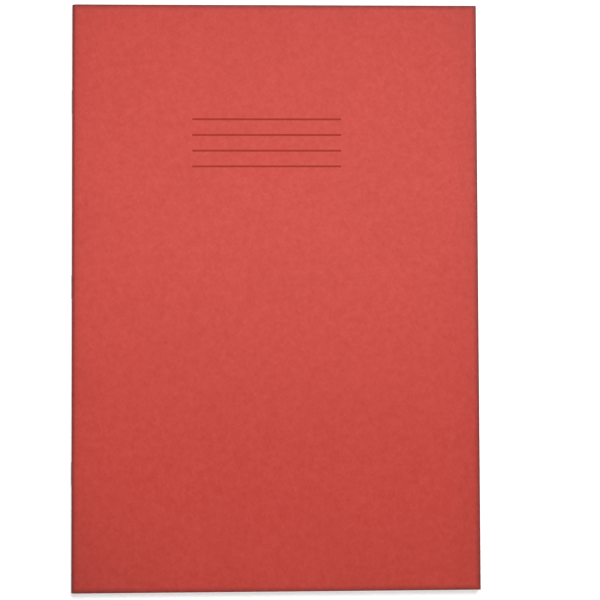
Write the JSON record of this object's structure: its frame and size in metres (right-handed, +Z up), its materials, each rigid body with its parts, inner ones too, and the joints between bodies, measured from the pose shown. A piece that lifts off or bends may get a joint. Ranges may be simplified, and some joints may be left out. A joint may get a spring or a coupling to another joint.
{
  "type": "stapled exercise book",
  "caption": "Thin A4 exercise book with a plain red card cover, ruled leaves that turn at the spine, and wire staples through the fold.",
  "frame": {"origin": "under the middle of the closed book, on the face of the back cover that lies on the table", "axes": "+X from the spine to the fore edge, +Y from the tail to the head of the page, +Z up through the thickness to the front cover"},
  "size_m": [0.2062, 0.297, 0.0044],
  "materials": {
    "cover_card": "uncoated dyed card, fine mottled grain",
    "page_paper": "smooth writing paper, feint ruled on one side of the leaf",
    "wire": "drawn galvanised wire"
  },
  "bodies": {
    "back_cover": {"back_cover": "cover_card"},
    "leaf_32": {"leaf_32": "page_paper"},
    "leaf_31": {"leaf_31": "page_paper"},
    "leaf_30": {"leaf_30": "page_paper"},
    "leaf_29": {"leaf_29": "page_paper"},
    "leaf_28": {"leaf_28": "page_paper"},
    "leaf_27": {"leaf_27": "page_paper"},
    "leaf_26": {"leaf_26": "page_paper"},
    "leaf_25": {"leaf_25": "page_paper"},
    "leaf_24": {"leaf_24": "page_paper"},
    "leaf_23": {"leaf_23": "page_paper"},
    "leaf_22": {"leaf_22": "page_paper"},
    "leaf_21": {"leaf_21": "page_paper"},
    "leaf_20": {"leaf_20": "page_paper"},
    "leaf_19": {"leaf_19": "page_paper"},
    "leaf_18": {"leaf_18": "page_paper"},
    "leaf_17": {"leaf_17": "page_paper", "upper_staple": "wire", "middle_staple": "wire", "lower_staple": "wire"},
    "leaf_16": {"leaf_16": "page_paper"},
    "leaf_15": {"leaf_15": "page_paper"},
    "leaf_14": {"leaf_14": "page_paper"},
    "leaf_13": {"leaf_13": "page_paper"},
    "leaf_12": {"leaf_12": "page_paper"},
    "leaf_11": {"leaf_11": "page_paper"},
    "leaf_10": {"leaf_10": "page_paper"},
    "leaf_09": {"leaf_09": "page_paper"},
    "leaf_08": {"leaf_08": "page_paper"},
    "leaf_07": {"leaf_07": "page_paper"},
    "leaf_06": {"leaf_06": "page_paper"},
    "leaf_05": {"leaf_05": "page_paper"},
    "leaf_04": {"leaf_04": "page_paper"},
    "leaf_03": {"leaf_03": "page_paper"},
    "leaf_02": {"leaf_02": "page_paper"},
    "leaf_01": {"leaf_01": "page_paper"},
    "front_cover": {"front_cover": "cover_card"}
  },
  "joints": [
    {"name": "front_cover_turn", "type": "hinge", "parent": "leaf_01", "child": "front_cover", "pos_m": [-0.10287, 0, 0.0022], "axis": [0, -1, 0], "range_deg": [0, 180]},
    {"name": "leaf_01_turn", "type": "hinge", "parent": "leaf_02", "child": "leaf_01", "pos_m": [-0.10287, 0, 0.0022], "axis": [0, -1, 0], "range_deg": [0, 180]},
    {"name": "leaf_02_turn", "type": "hinge", "parent": "leaf_03", "child": "leaf_02", "pos_m": [-0.10287, 0, 0.0022], "axis": [0, -1, 0], "range_deg": [0, 180]},
    {"name": "leaf_03_turn", "type": "hinge", "parent": "leaf_04", "child": "leaf_03", "pos_m": [-0.10287, 0, 0.0022], "axis": [0, -1, 0], "range_deg": [0, 180]},
    {"name": "leaf_04_turn", "type": "hinge", "parent": "leaf_05", "child": "leaf_04", "pos_m": [-0.10287, 0, 0.0022], "axis": [0, -1, 0], "range_deg": [0, 180]},
    {"name": "leaf_05_turn", "type": "hinge", "parent": "leaf_06", "child": "leaf_05", "pos_m": [-0.10287, 0, 0.0022], "axis": [0, -1, 0], "range_deg": [0, 180]},
    {"name": "leaf_06_turn", "type": "hinge", "parent": "leaf_07", "child": "leaf_06", "pos_m": [-0.10287, 0, 0.0022], "axis": [0, -1, 0], "range_deg": [0, 180]},
    {"name": "leaf_07_turn", "type": "hinge", "parent": "leaf_08", "child": "leaf_07", "pos_m": [-0.10287, 0, 0.0022], "axis": [0, -1, 0], "range_deg": [0, 180]},
    {"name": "leaf_08_turn", "type": "hinge", "parent": "leaf_09", "child": "leaf_08", "pos_m": [-0.10287, 0, 0.0022], "axis": [0, -1, 0], "range_deg": [0, 180]},
    {"name": "leaf_09_turn", "type": "hinge", "parent": "leaf_10", "child": "leaf_09", "pos_m": [-0.10287, 0, 0.0022], "axis": [0, -1, 0], "range_deg": [0, 180]},
    {"name": "leaf_10_turn", "type": "hinge", "parent": "leaf_11", "child": "leaf_10", "pos_m": [-0.10287, 0, 0.0022], "axis": [0, -1, 0], "range_deg": [0, 180]},
    {"name": "leaf_11_turn", "type": "hinge", "parent": "leaf_12", "child": "leaf_11", "pos_m": [-0.10287, 0, 0.0022], "axis": [0, -1, 0], "range_deg": [0, 180]},
    {"name": "leaf_12_turn", "type": "hinge", "parent": "leaf_13", "child": "leaf_12", "pos_m": [-0.10287, 0, 0.0022], "axis": [0, -1, 0], "range_deg": [0, 180]},
    {"name": "leaf_13_turn", "type": "hinge", "parent": "leaf_14", "child": "leaf_13", "pos_m": [-0.10287, 0, 0.0022], "axis": [0, -1, 0], "range_deg": [0, 180]},
    {"name": "leaf_14_turn", "type": "hinge", "parent": "leaf_15", "child": "leaf_14", "pos_m": [-0.10287, 0, 0.0022], "axis": [0, -1, 0], "range_deg": [0, 180]},
    {"name": "leaf_15_turn", "type": "hinge", "parent": "leaf_16", "child": "leaf_15", "pos_m": [-0.10287, 0, 0.0022], "axis": [0, -1, 0], "range_deg": [0, 180]},
    {"name": "centre_spread_turn", "type": "hinge", "parent": "leaf_17", "child": "leaf_16", "pos_m": [-0.10287, 0, 0.0022], "axis": [0, -1, 0], "range_deg": [0, 180]},
    {"name": "leaf_17_turn", "type": "hinge", "parent": "leaf_18", "child": "leaf_17", "pos_m": [-0.10287, 0, 0.0022], "axis": [0, -1, 0], "range_deg": [0, 180]},
    {"name": "leaf_18_turn", "type": "hinge", "parent": "leaf_19", "child": "leaf_18", "pos_m": [-0.10287, 0, 0.0022], "axis": [0, -1, 0], "range_deg": [0, 180]},
    {"name": "leaf_19_turn", "type": "hinge", "parent": "leaf_20", "child": "leaf_19", "pos_m": [-0.10287, 0, 0.0022], "axis": [0, -1, 0], "range_deg": [0, 180]},
    {"name": "leaf_20_turn", "type": "hinge", "parent": "leaf_21", "child": "leaf_20", "pos_m": [-0.10287, 0, 0.0022], "axis": [0, -1, 0], "range_deg": [0, 180]},
    {"name": "leaf_21_turn", "type": "hinge", "parent": "leaf_22", "child": "leaf_21", "pos_m": [-0.10287, 0, 0.0022], "axis": [0, -1, 0], "range_deg": [0, 180]},
    {"name": "leaf_22_turn", "type": "hinge", "parent": "leaf_23", "child": "leaf_22", "pos_m": [-0.10287, 0, 0.0022], "axis": [0, -1, 0], "range_deg": [0, 180]},
    {"name": "leaf_23_turn", "type": "hinge", "parent": "leaf_24", "child": "leaf_23", "pos_m": [-0.10287, 0, 0.0022], "axis": [0, -1, 0], "range_deg": [0, 180]},
    {"name": "leaf_24_turn", "type": "hinge", "parent": "leaf_25", "child": "leaf_24", "pos_m": [-0.10287, 0, 0.0022], "axis": [0, -1, 0], "range_deg": [0, 180]},
    {"name": "leaf_25_turn", "type": "hinge", "parent": "leaf_26", "child": "leaf_25", "pos_m": [-0.10287, 0, 0.0022], "axis": [0, -1, 0], "range_deg": [0, 180]},
    {"name": "leaf_26_turn", "type": "hinge", "parent": "leaf_27", "child": "leaf_26", "pos_m": [-0.10287, 0, 0.0022], "axis": [0, -1, 0], "range_deg": [0, 180]},
    {"name": "leaf_27_turn", "type": "hinge", "parent": "leaf_28", "child": "leaf_27", "pos_m": [-0.10287, 0, 0.0022], "axis": [0, -1, 0], "range_deg": [0, 180]},
    {"name": "leaf_28_turn", "type": "hinge", "parent": "leaf_29", "child": "leaf_28", "pos_m": [-0.10287, 0, 0.0022], "axis": [0, -1, 0], "range_deg": [0, 180]},
    {"name": "leaf_29_turn", "type": "hinge", "parent": "leaf_30", "child": "leaf_29", "pos_m": [-0.10287, 0, 0.0022], "axis": [0, -1, 0], "range_deg": [0, 180]},
    {"name": "leaf_30_turn", "type": "hinge", "parent": "leaf_31", "child": "leaf_30", "pos_m": [-0.10287, 0, 0.0022], "axis": [0, -1, 0], "range_deg": [0, 180]},
    {"name": "leaf_31_turn", "type": "hinge", "parent": "leaf_32", "child": "leaf_31", "pos_m": [-0.10287, 0, 0.0022], "axis": [0, -1, 0], "range_deg": [0, 180]},
    {"name": "leaf_32_turn", "type": "hinge", "parent": "back_cover", "child": "leaf_32", "pos_m": [-0.10287, 0, 0.0022], "axis": [0, -1, 0], "range_deg": [0, 180]}
  ]
}
